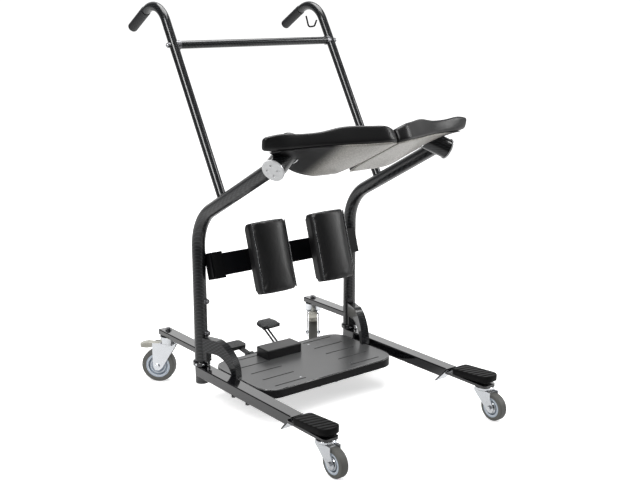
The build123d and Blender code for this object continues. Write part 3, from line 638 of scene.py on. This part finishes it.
levels = [(PAD_LOW + inward, shrink) for inward, shrink in PAD_ENDS]
levels.append((PAD_MIDDLE, 0))
levels += [(PAD_HIGH - inward, shrink) for inward, shrink in reversed(PAD_ENDS)]
for side, sign in SIDES:
    centre = sign * KNEE_X
    rings = [pad_section(centre, up, shrink) for up, shrink in levels]
    pad = solid(f"knee_cushion_{side}", *loft(rings), VINYL, None)
    stuffed(pad, PUFF_LIMIT, near_back)
    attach(pad, "frame")
    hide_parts(f"knee_pad_{side}")
    for end, edge in ENDS:
        across = centre + edge * (PAD_HALF - PIPING_IN)
        line = [knee_point(across, up, PAD_BACK + PAD_SIDE - PIPING_BACK)
                for up in np.linspace(PAD_LOW + 4, PAD_HIGH - 4, 24)]
        tube_along(f"knee_piping_{side}_{end}", line, PIPING_R * MM, PIPING_PAINTED_SHEEN, "frame")


# ------------------------------------------------------------------ legs and wheels
MAST_X = 270.0
FRONT_WHEEL = (275.0, -608.0, 37.5)
FRONT_SWIVEL = (275.0, -572.0)
REAR_SWIVEL_Y = 185.0
REAR_TRAIL = 32.0
REAR_WHEEL_R = 50.0
# How the rear casters happen to stand.
REAR_TURNS = {"left": math.radians(223.8), "right": math.radians(-38.0)}
RING_TUBE = 1.4
RING_SUNK = 0.8           # how deep a ring's middle lies in the wheel's face
PLATE_X = (251.5, 288.5)
PLATE_SECTION = ((-453.2, 100.0), (-452.2, 100.0), (-409.5, 57.0), (-410.5, 57.0))
SCREW_BEARINGS = (200, 250, 300)
SCREW_CIRCLE = 24.0

for side, sign in SIDES:
    # Slanted plate that closes the front leg's end and hangs below it.
    plate = [at(sign * x, y, z) for x in PLATE_X for y, z in PLATE_SECTION]
    faces = [(0, 1, 2, 3), (4, 5, 6, 7), (0, 1, 5, 4), (1, 2, 6, 5), (2, 3, 7, 6), (3, 0, 4, 7)]
    solid(f"leg_plate_{side}", plate, faces, ZINC, f"front_leg_assembly_{side}", smooth=False)
    # Cap screws round the collar at the mast's foot.
    for k, bearing in enumerate(SCREW_BEARINGS):
        a = math.radians(bearing)
        out = Vector((-sign * math.cos(a), math.sin(a), 0))
        spot = Vector((sign * MAST_X, 0, 112)) + out * SCREW_CIRCLE
        cylinder(f"collar_screw_{side}_{k}", at(*spot), at(*(spot + out * 2.2)), 3.2 * MM, ZINC,
                 "frame", 20, 0.4 * MM)
    # Chrome discs on the front wheel's hub.
    for end, k in ENDS:
        hub = Vector((sign * FRONT_WHEEL[0] + k * 12.0, *FRONT_WHEEL[1:]))
        cylinder(f"front_hub_disc_{side}_{end}", at(*hub),
                 at(*(hub + Vector((k * 1.2, 0, 0)))), 16 * MM, CHROME, f"front_wheel_{side}",
                 40, 0.5 * MM)


def wheel_rings(wheel, side, hub, axle, radii, half):
    """Moulded rings on both faces of a wheel; half is half of the wheel's width."""
    for end, k in ENDS:
        centre = at(*(hub + axle * k * (half - RING_SUNK)))
        for radius in radii:
            ring_of(f"{wheel}_ring_{side}_{end}_{int(radius)}", centre, axle, radius * MM,
                    RING_TUBE * MM, WHEEL_RING, f"{wheel}_wheel_{side}")


for side, sign in SIDES:
    turn = REAR_TURNS[side]
    axle = Vector((math.cos(turn), math.sin(turn), 0))
    rear = Vector((sign * MAST_X + REAR_TRAIL * math.sin(turn),
                   REAR_SWIVEL_Y - REAR_TRAIL * math.cos(turn), REAR_WHEEL_R))
    front = Vector((sign * FRONT_WHEEL[0], *FRONT_WHEEL[1:]))
    wheel_rings("rear", side, rear, axle, (31.0, 22.0), 13.6)
    wheel_rings("front", side, front, Vector((1, 0, 0)), (22.5, 15.0), 11.7)


# ------------------------------------------------------------------ pedal and toe covers
COVER_RINGS = ((9.0, 1.0), (12.0, 1.03), (15.0, 0.94), (17.5, 0.72), (18.6, 0.40), (18.9, 0.08))
COVER_POINTS = 48
COVER_UP = Vector((0, -0.17, 0.985))
COVER_ON = Vector((0, 0.985, 0.17))
TOE_LEVELS = ((0.0, 2.5), (0.08, 0.4), (0.5, 0.0), (0.86, 0.0), (0.96, 0.8), (1.0, 2.6))


def squared(value):
    """A sine or cosine pushed outwards, which makes a circle more square."""
    return math.copysign(abs(value) ** 0.8, value)


def cover_ring(height, grow):
    """Outline of the pedal's cover at a height above the lever."""
    ring = []
    for k in range(COVER_POINTS):
        angle = 2 * math.pi * k / COVER_POINTS
        wide = 34 * grow * squared(math.cos(angle))
        deep = 27 * grow * squared(math.sin(angle))
        spot = Vector((29 + wide, 101, 133)) + COVER_ON * (deep + 1) + COVER_UP * (height - 6)
        ring.append(at(*spot))
    return ring


def toe_height(y, share):
    """Height of a toe pad between its underside and its top, which rise forwards."""
    along = (y + 470.0) / -134.0
    low, high = 95.0 + 11.0 * along, 114.0 + 10.0 * along
    return low + (high - low) * share


def toe_ring(sign, share, inset):
    """Outline of a toe pad at one share of its height, drawn in by inset."""
    corners = ((246 + inset, -472 - inset), (304 - inset, -472 - inset), (305 - inset, -585),
               (292, -602 + inset), (262, -603 + inset), (246 + inset, -588))
    outline = rounded([Vector((x, y, 0)) for x, y in corners], 11.0, 5)
    return [at(sign * p.x, p.y, toe_height(p.y, share)) for p in outline]


# Bumpy domed cover on the high pedal.
cover = [cover_ring(height, grow) for height, grow in COVER_RINGS]
solid("pedal_cover", *loft(cover), PEDAL, "pedal_lever_high")

for side, sign in SIDES:
    rings = [toe_ring(sign, share, inset) for share, inset in TOE_LEVELS]
    toe = solid(f"toe_cover_{side}", *loft(rings), TOE, f"front_leg_assembly_{side}")
    toe.data.set_sharp_from_angle(angle=math.radians(50))
    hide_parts(f"toe_pad_{side}")

# Bright race above each front fork.
for side, sign in SIDES:
    x, y = sign * FRONT_SWIVEL[0], FRONT_SWIVEL[1]
    cylinder(f"front_race_{side}", at(x, y, 80.3), at(x, y, 87.6), 26 * MM, ZINC,
             f"front_leg_assembly_{side}", 48, 1.2 * MM)

# Rolled bright edge round the top of the platform.
DECK_HALF = 230.4
DECK_CORNERS = ((DECK_HALF, -262.4), (DECK_HALF, 12.4), (-DECK_HALF, 12.4), (-DECK_HALF, -262.4))
deck_outline = rounded([Vector((x, y, 91.4)) for x, y in DECK_CORNERS], 60.0, 14)
deck_line = [at(*p) for p in deck_outline + deck_outline[:1]]
tube_along("deck_edge_bead", deck_line, 2.2 * MM, DECK_EDGE, "frame", 12)

# Bright bolt heads at the ends of the crossbar.
for side, sign in SIDES:
    cylinder(f"crossbar_bolt_{side}", at(sign * 289.0, 99, 989), at(sign * 292.0, 99, 989),
             5.2 * MM, ZINC, "frame", 24, 1.0 * MM)


# ------------------------------------------------------------------ studio
# White paper with painted light: it glows, and for what the lift mirrors it is painted bright
# under and behind the lift and dark towards the camera.  The camera itself sees it near white,
# and white far off.
bpy.ops.mesh.primitive_plane_add(size=30, location=(0, 0, -0.0005))
floor = bpy.context.object
floor.name = "floor"
PAPER = material("paper", (0.90, 0.90, 0.90), 0.7, specular=0.2)
paper_inputs = shader_of(PAPER).inputs
seen = node(PAPER, "ShaderNodeLightPath").outputs["Is Camera Ray"]
depth = depth_in_view(PAPER, place(PAPER))
away = node(PAPER, "ShaderNodeVectorMath", operation="LENGTH", Vector=place(PAPER))
mirrored_tone = span(PAPER, depth, -1.5, -0.6, 0.10, 0.60)
mirrored_glow = span(PAPER, depth, -0.7, 0.6, 0.0, 0.4)
seen_glow = span(PAPER, away.outputs["Value"], 0.7, 2.2, 0.60, 1.1)
feed(PAPER, blend(PAPER, seen, mirrored_tone, (0.92, 0.92, 0.92)), paper_inputs["Base Color"])
feed(PAPER, (1, 1, 1), paper_inputs["Emission Color"])
feed(PAPER, blend(PAPER, seen, mirrored_glow, seen_glow, "FLOAT"),
     paper_inputs["Emission Strength"])
dress(floor, PAPER)

# The room: dark behind the camera, a white backdrop behind the lift.
world = bpy.data.worlds.new("studio")
scene.world = world
world.use_nodes = True
sky = world.node_tree.nodes["Background"]
sky.inputs["Color"].default_value = (1, 1, 1, 1)
direction = node(world, "ShaderNodeTexCoord").outputs["Generated"]
backdrop = span(world, depth_in_view(world, direction), 0.55, 0.95, 0.10, 1.1)
by_camera = node(world, "ShaderNodeLightPath").outputs["Is Camera Ray"]
feed(world, calculate(world, "MAXIMUM", backdrop, by_camera), sky.inputs["Strength"])


def softbox(name, place_at, look_at, width, height, power):
    """A soft area light aimed at a point."""
    light = bpy.data.lights.new(name, "AREA")
    light.shape = "RECTANGLE"
    light.size = width
    light.size_y = height
    light.energy = power
    lamp = bpy.data.objects.new(name, light)
    scene.collection.objects.link(lamp)
    lamp.location = place_at
    aim = Vector(look_at) - Vector(place_at)
    lamp.rotation_euler = aim.to_track_quat("-Z", "Y").to_euler()


softbox("key", (-2.6, -0.8, 2.4), (0, 0, 0.5), 0.9, 1.8, 66)
softbox("fill", (2.4, -1.6, 1.8), (0, 0, 0.5), 0.6, 2.2, 42)
softbox("top", (0.3, 0.4, 3.0), (0, 0, 0.3), 2.0, 2.0, 74)

CAMERA_TURN = math.radians(-38.036)
CAMERA_RISE = math.radians(13.478)
camera_data = bpy.data.cameras.new("camera")
camera_data.sensor_width = 36.0
camera_data.lens = 56.67
camera = bpy.data.objects.new("camera", camera_data)
scene.collection.objects.link(camera)
backwards = Vector((math.sin(CAMERA_TURN) * math.cos(CAMERA_RISE),
                    -math.cos(CAMERA_TURN) * math.cos(CAMERA_RISE), math.sin(CAMERA_RISE)))
camera.location = at(-1663.9, -2323.9, 1111.1)
camera.rotation_mode = "QUATERNION"
camera.rotation_quaternion = (-backwards).to_track_quat("-Z", "Y")
scene.camera = camera
scene.view_settings.view_transform = "Standard"
